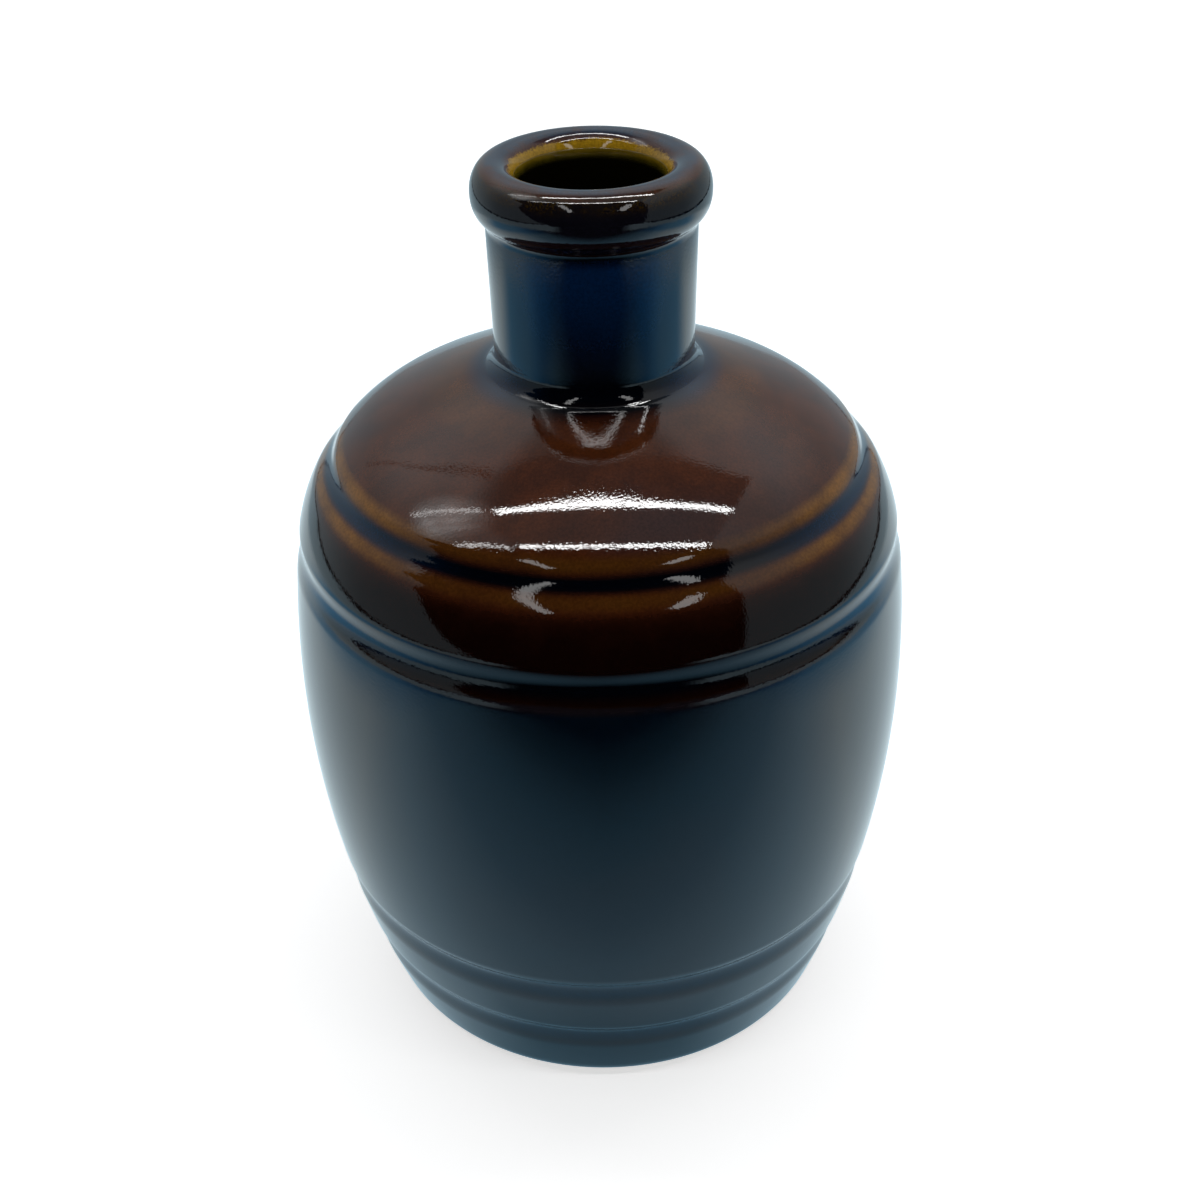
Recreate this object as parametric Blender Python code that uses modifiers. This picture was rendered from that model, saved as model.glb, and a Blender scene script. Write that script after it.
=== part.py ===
"""Ceramic wine decanter: a slip-cast stoneware flagon in the shape of a small barrel, glazed inside and out.

The flagon is one casting of clay with three coats of glaze melted onto it, and each of these four is an object:
the clay, the dark coat outside, the honey-coloured lining, and the patch of glaze inside the foot ring.
All four are turned shapes. They follow one side curve, so every coat keeps its thickness on the clay when a
size is changed. Lengths are in metres, the flagon stands on Z = 0, and its axis is the Z axis.
"""

import math

import bpy

# Barrel: the finished outside, over the glaze
BARREL_RADIUS = 0.0555  # at the widest place
BULGE_HEIGHT = 0.0683  # how high the widest place is
STAVE_ARC = 0.195  # radius of the long arc up the side
HEEL_ARC = 0.0075  # rounding from the side into the foot
KNUCKLE_HEIGHT = 0.0971  # where the side starts to turn in to the shoulder
KNUCKLE_ARC = 0.0305  # radius of that turn
DOME_SLOPE = math.radians(26.7)  # slope of the shoulder where the turn ends
DOME_ARC = 0.133  # radius of the shallow dome up to the neck

# Hoops: four shallow grooves round the barrel, in two pairs, each with a long lower bank and a short upper one
HOOP_LOWER_BANK = 0.0050
HOOP_UPPER_BANK = 0.0031
HOOP_DEPTH = 0.0006
LOW_HOOP_HEIGHT = 0.0161  # the lowest groove
LOW_HOOP_PITCH = 0.0150  # along the side, from the lowest groove to the next
TOP_HOOP_PITCH = 0.0164  # along the shoulder, from the groove at the knuckle to the next
RIDGE_HALF_WIDTH = 0.0052  # inside the wall, where the cast clay follows a hoop
RIDGE_HEIGHT = 0.0005

# Neck and rolled lip
NECK_RADIUS = 0.0169  # at its foot
NECK_FLARE = 0.0004  # how much wider it is under the lip
NECK_LENGTH = 0.0216  # straight part
NECK_FOOT_ARC = 0.0035  # hollow round the foot of the neck
LIP_CREASE = 0.0018  # radius of the hollow under the lip
LIP_OVERHANG = 0.0026  # how far the lip stands out past the foot of the neck
LIP_HEIGHT = 0.0098
LIP_SQUARENESS = 2.15  # 2 is an ellipse, and more is squarer
LIP_GLAZE_END = math.radians(152.0)  # where the dark coat gives way to the lining

# Walls
WALL = 0.0050  # through clay and glaze, at the side and the neck
FLOOR_TOP = 0.0082  # height of the finished floor inside
FLOOR_ARC = 0.0085  # rounding from the side into the floor
FOOT_RING_WIDTH = 0.0046  # flat ring of bare clay that the flagon stands on
FOOT_EDGE = 0.0006  # bevel along the inner edge of the ring
RECESS_HEIGHT = 0.0022  # height of the glazed hollow inside the ring

# Glaze
GLAZE = 0.00055  # coat on plain stretches
GLAZE_POOL = 0.00095  # where it has run together in a hoop
GLAZE_BREAK = 0.00035  # where it has run thin on the edges of a hoop
BREAK_HALF_WIDTH = 0.0031  # how far the thin place reaches from an edge
GLAZE_LINE = 0.0018  # height at which the outer coat stops above the foot
LINER = 0.00050  # coat inside
BASE_COAT = 0.00050  # coat under the floor
SEAT = 0.0003  # clearance between the clay and each coat

# Fineness of the turned shapes
TURN_STEPS = 32
RINGS = {
    "heel": 4,
    "side": 6,
    "shoulder": 3,
    "dome": 4,
    "hollow": 4,
    "crease": 4,
    "lip": 8,
    "inner_side": 5,
    "inner_dome": 3,
    "inner_corner": 4,
}
HOOP_RING_SHARES = (0, 0.5, 1)
RIDGE_RING_SHARES = (-1, 0, 1)
TANGENT_STEP = 0.00001  # step along a curve for taking its direction
HALVINGS = 40  # tries for the place where the roll of the lip starts

# Colour and roughness
FINISHES = {
    "bare_clay": ((0.48, 0.40, 0.31), 0.85),
    "dark_glaze": ((0.020, 0.013, 0.012), 0.08),
    "honey_glaze": ((0.16, 0.10, 0.012), 0.12),
}

BORE_RADIUS = NECK_RADIUS - WALL
LIP_RADIUS = NECK_RADIUS + LIP_OVERHANG
STAVE_CENTRE = (BARREL_RADIUS - STAVE_ARC, BULGE_HEIGHT)


class Arc:
    """A round stretch of curve, from one angle to another about its centre."""

    def __init__(self, centre, radius, start, end):
        self.centre = centre
        self.radius = radius
        self.start = start
        self.end = end
        self.length = radius * abs(end - start)

    def at(self, distance):
        """Point at a distance along the arc."""
        turned = self.start + (self.end - self.start) * distance / self.length
        return polar(self.centre, self.radius, turned)


class Line:
    """A straight stretch of curve."""

    def __init__(self, start, end):
        self.start = start
        self.end = end
        self.length = math.dist(start, end)

    def at(self, distance):
        """Point at a distance along the line."""
        return between(self.start, self.end, distance / self.length)


class Lip:
    """The rolled lip: most of a squared ellipse, from the crease, over the crown and into the bore."""

    def __init__(self, neck_top):
        self.half_width = (LIP_RADIUS - BORE_RADIUS) / 2
        self.half_height = LIP_HEIGHT / 2
        self.across = (LIP_RADIUS + BORE_RADIUS) / 2
        self.start = self.leaves_crease(neck_top[0])
        crease_rise = LIP_CREASE * math.sin(self.facing_down(self.start))
        self.up = neck_top[1] + crease_rise - self.half_height * squared(math.sin(self.start))
        self.length = math.pi * (self.half_width + self.half_height) / 2

    def at(self, distance):
        """Point at a distance along the roll, counted by how far the roll has turned."""
        turned = self.start + (math.pi - self.start) * distance / self.length
        return (
            self.across + self.half_width * squared(math.cos(turned)),
            self.up + self.half_height * squared(math.sin(turned)),
        )

    def distance_of(self, turned):
        """Distance along the roll at which it has turned that far."""
        return self.length * (turned - self.start) / (math.pi - self.start)

    def facing_down(self, turned):
        """How far below level the underside of the roll faces where it has turned that far."""
        steepness = math.tan(abs(turned)) ** (2 - 2 / LIP_SQUARENESS)
        return math.atan(steepness * self.half_width / self.half_height)

    def leaves_crease(self, neck_radius):
        """How far the roll has turned where it starts: there the crease touches both it and the neck."""
        lowest, level = -math.pi / 2, 0
        for _ in range(HALVINGS):
            middle = (lowest + level) / 2
            crease_width = LIP_CREASE * (1 - math.cos(self.facing_down(middle)))
            if self.across + self.half_width * squared(math.cos(middle)) < neck_radius + crease_width:
                lowest = middle
            else:
                level = middle
        return level


class Chain:
    """Named stretches of curve, end to end, read by the distance along them all."""

    def __init__(self, stretches):
        self.stretches = stretches
        self.starts = {}
        self.length = 0
        for name, stretch in stretches.items():
            self.starts[name] = self.length
            self.length += stretch.length

    def at(self, distance):
        """Point at a distance along the chain."""
        begun = [name for name in self.stretches if self.starts[name] <= distance]
        return self.stretches[begun[-1]].at(distance - self.starts[begun[-1]])


def polar(centre, radius, angle):
    """Point at a radius and an angle from a centre."""
    return (centre[0] + radius * math.cos(angle), centre[1] + radius * math.sin(angle))


def angle_from(centre, point):
    """Direction from a centre to a point."""
    return math.atan2(point[1] - centre[1], point[0] - centre[0])


def between(start, end, share):
    """Point that lies at a share of the way from one point to another."""
    return tuple(a + (b - a) * share for a, b in zip(start, end))


def squared(value):
    """Cosine or sine of a squared ellipse, from that of a round one."""
    return math.copysign(abs(value) ** (2 / LIP_SQUARENESS), value)


def spread(start, end, count):
    """Distances from start to end, both included."""
    return [start + (end - start) * i / (count - 1) for i in range(count)]


def normal_of(point_at, distance):
    """Direction out of the clay, square to a curve that runs up the outside."""
    r0, z0 = point_at(max(distance - TANGENT_STEP, 0))
    r1, z1 = point_at(min(distance + TANGENT_STEP, OUTSIDE.length))
    run = math.hypot(r1 - r0, z1 - z0)
    return ((z1 - z0) / run, (r0 - r1) / run)


def moved_in(point, normal, depth):
    """A point moved into the clay, against the normal."""
    return (point[0] - depth * normal[0], point[1] - depth * normal[1])


def corner_centre(side_arc, corner_arc, height):
    """Centre, at that height, of a rounding that touches the inside of an arc about the stave centre."""
    reach = math.sqrt((side_arc - corner_arc) ** 2 - (BULGE_HEIGHT - height) ** 2)
    return (STAVE_CENTRE[0] + reach, height)


def outside_chain():
    """The finished outside without its hoops, from the foot up and over the lip into the bore."""
    # The heel is lower than Z = 0 by a coat and its seat, so that the clay behind them stands on Z = 0.
    heel_centre = corner_centre(STAVE_ARC, HEEL_ARC, HEEL_ARC - GLAZE - SEAT)
    heel_end = angle_from(STAVE_CENTRE, heel_centre)
    stave_end = math.asin((KNUCKLE_HEIGHT - BULGE_HEIGHT) / STAVE_ARC)
    knuckle_centre = polar(STAVE_CENTRE, STAVE_ARC - KNUCKLE_ARC, stave_end)
    dome_start = math.pi / 2 - DOME_SLOPE
    # The dome is the wider arc, so its centre lies beyond the knuckle's.
    dome_centre = polar(knuckle_centre, KNUCKLE_ARC - DOME_ARC, dome_start)
    # The hollow touches the dome from above and the side of the neck from outside.
    hollow_across = NECK_RADIUS + NECK_FOOT_ARC
    hollow_rise = math.sqrt((DOME_ARC + NECK_FOOT_ARC) ** 2 - (hollow_across - dome_centre[0]) ** 2)
    hollow_centre = (hollow_across, dome_centre[1] + hollow_rise)
    dome_end = angle_from(dome_centre, hollow_centre)
    neck_foot = (NECK_RADIUS, hollow_centre[1])
    neck_top = (neck_foot[0] + NECK_FLARE, neck_foot[1] + NECK_LENGTH)
    lip = Lip(neck_top)
    crease_centre = (neck_top[0] + LIP_CREASE, neck_top[1])
    crease_end = math.pi - lip.facing_down(lip.start)
    return Chain(
        {
            "heel": Arc(heel_centre, HEEL_ARC, -math.pi / 2, heel_end),
            "stave": Arc(STAVE_CENTRE, STAVE_ARC, heel_end, stave_end),
            "knuckle": Arc(knuckle_centre, KNUCKLE_ARC, stave_end, dome_start),
            "dome": Arc(dome_centre, DOME_ARC, dome_start, dome_end),
            "hollow": Arc(hollow_centre, NECK_FOOT_ARC, dome_end + math.pi, math.pi),
            "neck": Line(neck_foot, neck_top),
            "crease": Arc(crease_centre, LIP_CREASE, math.pi, crease_end),
            "lip": lip,
        }
    )


OUTSIDE = outside_chain()
STARTS = OUTSIDE.starts


def hoop_distances():
    """Distances up the outside of the four hoops, from the lowest up."""
    stave = OUTSIDE.stretches["stave"]
    turned = math.asin((LOW_HOOP_HEIGHT - BULGE_HEIGHT) / STAVE_ARC) - stave.start
    lowest = STARTS["stave"] + STAVE_ARC * turned
    return (
        lowest,
        lowest + LOW_HOOP_PITCH,
        STARTS["knuckle"],
        STARTS["knuckle"] + TOP_HOOP_PITCH,
    )


HOOPS = hoop_distances()


def swell(distance, places, lower_bank, upper_bank):
    """A smooth swell at each place: 1 at the place itself, and 0 from a bank's width away."""
    shares = [(place - distance) / lower_bank for place in places if distance <= place]
    shares += [(distance - place) / upper_bank for place in places if distance > place]
    return (1 + math.cos(math.pi * min(*shares, 1))) / 2


def finished_point(distance):
    """Point on the glazed outside, hoops and all."""
    depth = HOOP_DEPTH * swell(distance, HOOPS, HOOP_LOWER_BANK, HOOP_UPPER_BANK)
    return moved_in(OUTSIDE.at(distance), normal_of(OUTSIDE.at, distance), depth)


def below(distance, depth):
    """Point that deep under the glazed outside."""
    return moved_in(finished_point(distance), normal_of(finished_point, distance), depth)


def glaze_at(distance):
    """Thickness of the outer coat: it pools in the hoops and breaks on their edges."""
    pooled = swell(distance, HOOPS, HOOP_LOWER_BANK, HOOP_UPPER_BANK)
    edges = [hoop + reach for hoop in HOOPS for reach in (-HOOP_LOWER_BANK, HOOP_UPPER_BANK)]
    broken = swell(distance, edges, BREAK_HALF_WIDTH, BREAK_HALF_WIDTH) * (1 - pooled)
    return GLAZE + (GLAZE_POOL - GLAZE) * pooled - (GLAZE - GLAZE_BREAK) * broken


def lip_distance(turned):
    """Distance up the outside at which the rolled lip has turned that far."""
    return STARTS["lip"] + OUTSIDE.stretches["lip"].distance_of(turned)


def outside_rings():
    """Distances up the outside at which the clay and its outer coat have a ring of points."""
    first, second, third, fourth = HOOPS
    rings = [hoop - HOOP_LOWER_BANK * share for hoop in HOOPS for share in HOOP_RING_SHARES]
    rings += [hoop + HOOP_UPPER_BANK * share for hoop in HOOPS for share in HOOP_RING_SHARES[1:]]
    rings += spread(0, STARTS["stave"], RINGS["heel"])
    rings += [(STARTS["stave"] + first - HOOP_LOWER_BANK) / 2, (third + fourth) / 2]
    rings += spread(second + HOOP_UPPER_BANK, third - HOOP_LOWER_BANK, RINGS["side"])[1:-1]
    rings += spread(fourth + HOOP_UPPER_BANK, STARTS["dome"], RINGS["shoulder"])[1:]
    rings += spread(STARTS["dome"], STARTS["hollow"], RINGS["dome"])[1:-1]
    rings += spread(STARTS["hollow"], STARTS["neck"], RINGS["hollow"])
    rings += spread(STARTS["crease"], STARTS["lip"], RINGS["crease"])[:-1]
    rings += spread(STARTS["lip"], lip_distance(LIP_GLAZE_END), RINGS["lip"])
    return sorted(rings)


def inside_rings():
    """Distances up the outside across from which the inside of the wall has a ring of points."""
    second, third, fourth = HOOPS[1:]
    rings = [hoop + RIDGE_HALF_WIDTH * share for hoop in HOOPS[1:] for share in RIDGE_RING_SHARES]
    rings += spread(second + RIDGE_HALF_WIDTH, third - RIDGE_HALF_WIDTH, RINGS["inner_side"])[1:-1]
    rings += spread(fourth + RIDGE_HALF_WIDTH, STARTS["dome"], RINGS["shoulder"])[1:]
    rings += spread(STARTS["dome"], STARTS["hollow"], RINGS["inner_dome"])[1:-1]
    rings += spread(STARTS["hollow"], STARTS["neck"], RINGS["hollow"])
    return sorted(rings)


def inside_point(distance, depth):
    """Point that deep behind the finished inside, across the wall from a place on the outside.

    The drained casting follows the hoops with low ridges, but for the lowest, which the thick corner hides.
    """
    ridge = RIDGE_HEIGHT * swell(distance, HOOPS[1:], RIDGE_HALF_WIDTH, RIDGE_HALF_WIDTH)
    return moved_in(OUTSIDE.at(distance), normal_of(OUTSIDE.at, distance), WALL - depth + ridge)


def lining_curve(depth):
    """The inside, that deep behind its finished face, from the rim down to the middle of the floor."""
    rim_turns = (LIP_GLAZE_END, (LIP_GLAZE_END + math.pi) / 2, math.pi)
    floor = FLOOR_TOP - depth
    corner_arc = FLOOR_ARC + depth
    centre = corner_centre(STAVE_ARC - WALL + depth, corner_arc, floor + corner_arc)
    corner = Arc(centre, corner_arc, angle_from(STAVE_CENTRE, centre), -math.pi / 2)
    points = [below(lip_distance(turned), depth) for turned in rim_turns]
    points += [inside_point(distance, depth) for distance in reversed(inside_rings())]
    points += [corner.at(distance) for distance in spread(0, corner.length, RINGS["inner_corner"])]
    return points + [(0, floor)]


def material_of(name):
    """A Principled material with the colour and roughness of a finish."""
    colour, roughness = FINISHES[name]
    material = bpy.data.materials.get(name) or bpy.data.materials.new(name)
    material.use_nodes = True
    shader = material.node_tree.nodes["Principled BSDF"]
    shader.inputs["Base Color"].default_value = (*colour, 1)
    shader.inputs["Roughness"].default_value = roughness
    shader.inputs["Metallic"].default_value = 0
    return material


def turn(name, profile, finish, collection, closed=False):
    """Turns a profile of (radius, height) points about the Z axis into a solid of its own."""
    edges = [(i, i + 1) for i in range(len(profile) - 1)]
    if closed:
        edges.append((len(profile) - 1, 0))
    mesh = bpy.data.meshes.new(name)
    mesh.from_pydata([(r, 0, z) for r, z in profile], edges, [])
    mesh.materials.append(material_of(finish))
    solid = bpy.data.objects.new(name, mesh)
    collection.objects.link(solid)
    screw = solid.modifiers.new("turn", "SCREW")
    screw.axis = "Z"
    screw.angle = 2 * math.pi
    screw.steps = TURN_STEPS
    screw.render_steps = TURN_STEPS
    screw.use_merge_vertices = True
    screw.merge_threshold = TANGENT_STEP
    screw.use_smooth_shade = True


def make_clay(collection, recess_radius):
    """The casting: foot ring, barrel, neck and the core of the lip, hollow down to its floor."""
    inner = lining_curve(LINER + SEAT)
    outer = [below(distance, glaze_at(distance) + SEAT) for distance in outside_rings()]
    ceiling = RECESS_HEIGHT + BASE_COAT + SEAT
    foot = [
        (recess_radius + FOOT_EDGE, 0),
        (recess_radius, FOOT_EDGE),
        (recess_radius, ceiling),
        (0, ceiling),
    ]
    turn("stoneware_body", inner[::-1] + outer[::-1] + foot, "bare_clay", collection)


def make_outer_glaze(collection):
    """The dark coat, from the glaze line above the foot over barrel, neck and lip to the rim of the bore."""
    heel = OUTSIDE.stretches["heel"]
    line = HEEL_ARC * (math.asin((GLAZE_LINE - heel.centre[1]) / HEEL_ARC) - heel.start)
    rings = [line] + [distance for distance in outside_rings() if distance > line]
    face = [finished_point(distance) for distance in rings]
    back = [below(distance, glaze_at(distance)) for distance in rings]
    turn("outer_glaze", face[::-1] + back, "dark_glaze", collection, closed=True)


def make_liner_glaze(collection):
    """The lining: a thin cup from the rim of the bore to the floor, with its edge clear of the dark coat."""
    face = lining_curve(0)
    back = lining_curve(LINER)
    for curve in (face, back):
        curve[0] = between(curve[0], curve[1], SEAT / math.dist(curve[0], curve[1]))
    turn("liner_glaze", face[::-1] + back, "honey_glaze", collection)


def make_base_glaze(collection, recess_radius):
    """The patch of glaze in the hollow of the foot, with its edge rounded over."""
    edge = recess_radius - SEAT
    top = RECESS_HEIGHT + BASE_COAT
    profile = [
        (0, top),
        (edge - BASE_COAT, top),
        (edge, top - BASE_COAT / 2),
        (edge - BASE_COAT, RECESS_HEIGHT),
        (0, RECESS_HEIGHT),
    ]
    turn("base_glaze", profile, "dark_glaze", collection)


def main():
    for old in list(bpy.data.objects):
        bpy.data.objects.remove(old)
    decanter = bpy.data.collections.new("wine_decanter")
    bpy.context.scene.collection.children.link(decanter)
    foot_radius = OUTSIDE.stretches["heel"].centre[0]
    recess_radius = foot_radius - FOOT_RING_WIDTH - FOOT_EDGE
    make_clay(decanter, recess_radius)
    make_outer_glaze(decanter)
    make_liner_glaze(decanter)
    make_base_glaze(decanter, recess_radius)


main()
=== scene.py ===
"""Looks of the ceramic wine decanter: a barrel-shaped stoneware flagon, dark outside and honey inside.

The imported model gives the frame. This script turns the fine surfaces of the flagon round it, one for each
CAD node: the dark coat, the honey lining, the clay and the glaze under the foot. It gives them their finishes
and stands the flagon on a pale table in soft studio light. Lengths are in metres.
"""

import math

import bpy
from mathutils import Matrix, Vector


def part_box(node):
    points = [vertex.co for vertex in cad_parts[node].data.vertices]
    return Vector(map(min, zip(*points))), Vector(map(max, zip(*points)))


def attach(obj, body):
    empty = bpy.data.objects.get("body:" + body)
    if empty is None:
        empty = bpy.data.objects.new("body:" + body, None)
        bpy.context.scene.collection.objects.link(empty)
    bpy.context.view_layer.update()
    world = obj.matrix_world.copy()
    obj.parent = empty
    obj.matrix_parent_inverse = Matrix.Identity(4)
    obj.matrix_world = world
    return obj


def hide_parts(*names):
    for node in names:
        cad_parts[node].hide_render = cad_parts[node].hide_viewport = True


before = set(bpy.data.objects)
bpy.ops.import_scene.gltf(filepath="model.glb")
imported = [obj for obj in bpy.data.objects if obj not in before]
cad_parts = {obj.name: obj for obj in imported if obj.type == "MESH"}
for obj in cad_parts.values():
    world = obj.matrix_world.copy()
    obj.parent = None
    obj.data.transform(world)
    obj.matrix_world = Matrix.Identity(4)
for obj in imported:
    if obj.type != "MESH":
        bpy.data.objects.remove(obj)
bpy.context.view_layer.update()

bl_info = {
    "name": "Wine Flagon",
    "version": (1, 0, 0),
    "blender": (4, 5, 0),
    "location": "View3D > Sidebar > Flagon",
    "description": "Turns and glazes a barrel-shaped stoneware wine flagon",
    "category": "Add Mesh",
}

COAT_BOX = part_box("outer_glaze")
TAU = 2 * math.pi
START_PLANE = 0.001  # side of the small plane whose corners merge into the first point of a drawn line
MERGE_DISTANCE = 0.000004  # points of a spun piece that lie this close merge into one
HOOP_MARGIN = 1.1  # how far the fine rings reach on each side of a hoop, in widths of its bank
RIM_SHARE = 0.1  # place of the extra ring that keeps the lining's edge crisp, on the way to the next ring
EDGE_FACES = 8  # round the edge of the glaze under the foot
BEVEL_CORNER = 0.3  # place of the corner in the middle of the foot's bevel, in widths of the bevel
SMOOTH_BELOW = math.radians(40)  # an edge of the clay that turns by more stays sharp

# The marks of the dark coat, from 0 to 1 or so: where it has run together, has run thin, is thick, is darkest
# brown, is flecked, has the lining's colour, has a painted sheen on the crown of the lip, or has a painted
# reflection on the neck.
COAT_MARKS = ("pool", "thin", "navy", "deep", "olive", "mouth", "slate", "film")
FOOT_MARKS = (0.25, 0.25, 0.6, 0.6, 0, 0, 0, 0)

# Bands round the outside: the place each is measured from, how far up from there its middle is, how far from
# the middle it is full, how far it reaches, and how strong it is.
POOL_BANDS = (
    ("top_hoop", 0, 0.0007, 0.0022, 1),
    ("knuckle_hoop", 0, 0.0009, 0.0028, 1),
    ("low_hoop", -0.0006, 0.0008, 0.0026, 1),
    ("second_hoop", -0.0006, 0.0008, 0.0026, 1),
    ("collar", 0, 0.0022, 0.0058, 1),
    ("crease", 0, 0.0008, 0.0040, 0.8),
)
THIN_BANDS = (
    ("top_hoop", 0.0030, 0.0003, 0.0021, 1),
    ("top_hoop", -0.0028, 0.0003, 0.0019, 0.95),
    ("hollow", -0.0060, 0.0015, 0.0060, 0.16),
    ("knuckle_hoop", -0.0038, 0.0003, 0.0012, 0.12),
    ("low_hoop", -0.0036, 0.0003, 0.0014, 0.15),
    ("second_hoop", -0.0036, 0.0003, 0.0014, 0.15),
)

# Bands round the lip: how far the roll has turned in the middle, in degrees, and then the same as above.
LIP_BANDS = {
    "olive": (46, 0.0006, 0.0017, 1),
    "brown_below": (70, 0.0004, 0.0018, 0.85),
    "slate": (96, 0.0008, 0.0021, 1),
    "brown_above": (122, 0.0007, 0.0018, 0.95),
}
MOUTH_TURNS = (118, 146)  # degrees of the roll between which the coat takes the lining's colour

# Where marks fade, measured up the outside from the place that the name says.
BELLY_NAVY_FROM_KNUCKLE_HOOP = (-0.0042, -0.0024)
NECK_NAVY_FROM_HOLLOW = -0.0022
DEEP_FROM_TOP_HOOP = ((-0.0068, -0.0026, 0.8), (-0.0120, -0.0068, 0.2))  # and the share that fades there
REFLECTION_FULL_FROM_CREASE = -0.0020
REFLECTION_FADE_FROM_CREASE = -0.0012

# Lengths of the clouds, mottles and grains of the glazes and the clay.
CLOUD_SIZE = 0.034
MOTTLE_SIZE = 0.0060
RIPPLE_SIZE = 0.0110
GRAIN_SIZE = 0.00045
FLECK_SIZE = 0.00034
PEEL_SIZE = 0.00042
LINING_MOTTLE_SIZE = 0.0030
LINING_PEEL_SIZE = 0.0016
RUN_SIZE = 0.0022
CLAY_CLOUD_SIZE = 0.020
SAND_SIZE = 0.0006
SPECK_SPACING = 0.0022
SURFACE_IOR = 1.5
RUN_STRETCH = (1.0, 1.0, 0.2)  # the runs in the lining are drawn out along the third axis
FRONT_TURN = (-0.92, -0.55)  # Y of the way out from the axis where the front ends and where the sides begin
LOW_POOL_HEIGHTS = (0.045, 0.060)  # below these the pools are blue at the front too
LOW_POOL_BLUE = 0.62

# Corners of the cards that the glaze reflects: (across, up) on the wall, and (across, back) for level cards.
DARK_WALL = (
    (-0.45, 0), (0.62, 0), (0.70, 0.30), (0.98, 1.25),
    (-1.78, 1.25), (-1.78, 0.73), (-1.31, 0.40), (-0.77, 0.08),
)
DARK_CEILING = ((0.79, -0.45), (0.98, -0.57), (-1.78, -0.57), (-1.78, -0.09), (-0.50, -0.45))
CANOPY = (
    (-0.55, -0.45), (0.79, -0.45), (0.79, 0.52), (0.60, 0.47), (0.21, 0.34),
    (-0.46, 0.39), (-0.62, 0.45), (-0.62, 0.10), (-0.55, 0.08),
)
HAZE = ((-1.95, -0.60), (-0.40, -0.60), (-0.40, 0.70), (-1.95, 0.70))
HAZE_CENTRE = (-1.06, 0.08, 1.26)
HAZE_REACH = (0.62, 0.38, 1.0)
HAZE_FADE = (0.10, 1.0)  # shares of its reach between which the haze fades
STREAK_SIZE = 0.30
STREAK_STRETCH = (1.0, 5.0, 1.0)
CANOPY_LIGHT = (0.0, 0.16, 0.33, 0.17)  # front and back place, and how bright it is at each
CANOPY_WHOLE = (0.06, 0.16)  # how far back the canopy is whole, and how far back its left side has faded
CANOPY_LEFT_FADE = (-0.62, -0.34)  # across, from nothing to whole, where it has faded
PATCHES = {
    "left": ((-0.49, 1.05), (-0.44, 1.12), (-0.36, 1.00), (-0.18, 0.50), (-0.21, 0.44), (-0.27, 0.60)),
    "right": ((0.27, 0.50), (0.32, 0.46), (0.44, 0.62), (0.60, 0.98), (0.50, 0.96), (0.36, 0.72)),
}
PATCH_GAP = 0.005  # the patches stand this far in front of the dark wall
CARD_DARKNESS = 0.001  # what a dark card shines with
TINT_RISE = 0.001  # the tint lies just over the table

# The strip lamps and a dark cord as the glaze shows them: places (across, back) on the middle line, half the
# width, and how bright.
STRIPS = {
    "back": (
        ((-0.52, 0.070), (-0.25, 0.096), (0, 0.102), (0.25, 0.100), (0.50, 0.084), (0.77, 0.045)),
        0.028, 1.0,
    ),
    "back_left": (((-1.40, 0.270), (-1.00, 0.190), (-0.60, 0.105)), 0.020, 0.22),
    "front": (
        ((-0.50, -0.412), (-0.25, -0.432), (0, -0.443), (0.25, -0.446), (0.50, -0.441), (0.75, -0.427)),
        0.020, 1.0,
    ),
    "front_left": (((-1.10, -0.310), (-0.80, -0.345), (-0.57, -0.425)), 0.018, 0.40),
    "dark": (((-2.30, 2.05), (-1.25, 1.13), (-0.71, 0.595), (-0.50, 0.40)), 0.012, 0.0),
}
STRIP_DROP = 0.01  # the strips hang this far under the canopy

# The two lamps: how far back and across each hangs, as shares of its height.
LAMPS = {"back_lamp": 0.125, "front_lamp": -0.365}
LAMP_ACROSS = 0.105

# Tints of the table in the glaze, from the front darkened by painted shade (0) to the pale back (1).
TABLE_TINTS = (
    (0.00, (0.002, 0.003, 0.004)),
    (0.20, (0.050, 0.110, 0.155)),
    (0.40, (0.140, 0.305, 0.430)),
    (0.60, (0.250, 0.460, 0.625)),
    (0.80, (0.500, 0.750, 0.920)),
    (1.00, (0.760, 0.920, 0.990)),
)
SIDE_TINT = (0.28, 0.56, 0.80)
CORNER_TINT = (0.42, 0.56, 0.63)
FOOT_SHADE = (0.50, 0.62, 0.67)
WHITE = (1.0, 1.0, 1.0)

# Where those tints lie on the table, in metres from the axis or behind it.
PALER_ASIDE = 0.25  # a place aside counts as so much of the same distance behind
BAND_STARTS = (0.17, 0.25)
BAND_ENDS = (0.33, 0.40)
BAND_BACK = (0.06, 0.18)
WEDGE_SLOPE = 0.577  # the tangent of 30 degrees
WEDGE_EDGE = (-0.04, 0.08)
CORNER_STARTS = (0.33, 0.40)
SHADE_REACH = (0.048, 0.062)
SHADE_ASIDE = (0.012, 0.038)

# Heights in the room between which its light changes: 0 is level with the flagon and 1 straight above it.
WALL_HEIGHTS = (0.35, 0.70)
CEILING_HEIGHTS = (0.83, 0.93)
LOW_TINT_HEIGHTS = (0.08, 0.42)
BACK_TURN = (0.0, 0.55)  # the same from the sides (0) towards the back (1)
BACK_SHARE = 1.05  # the back wall's share of the light, as room_sides is that of the sides

SENSOR_WIDTH = 36  # of the camera, in millimetres
CLIP_START = 0.01


def length(name, description, default):
    """A length that the user may change."""
    return bpy.props.FloatProperty(
        name=name, description=description, default=default, min=0, unit="LENGTH", precision=5
    )


def angle(name, description, degrees):
    """An angle that the user may change."""
    return bpy.props.FloatProperty(
        name=name, description=description, default=math.radians(degrees), subtype="ANGLE"
    )


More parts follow.
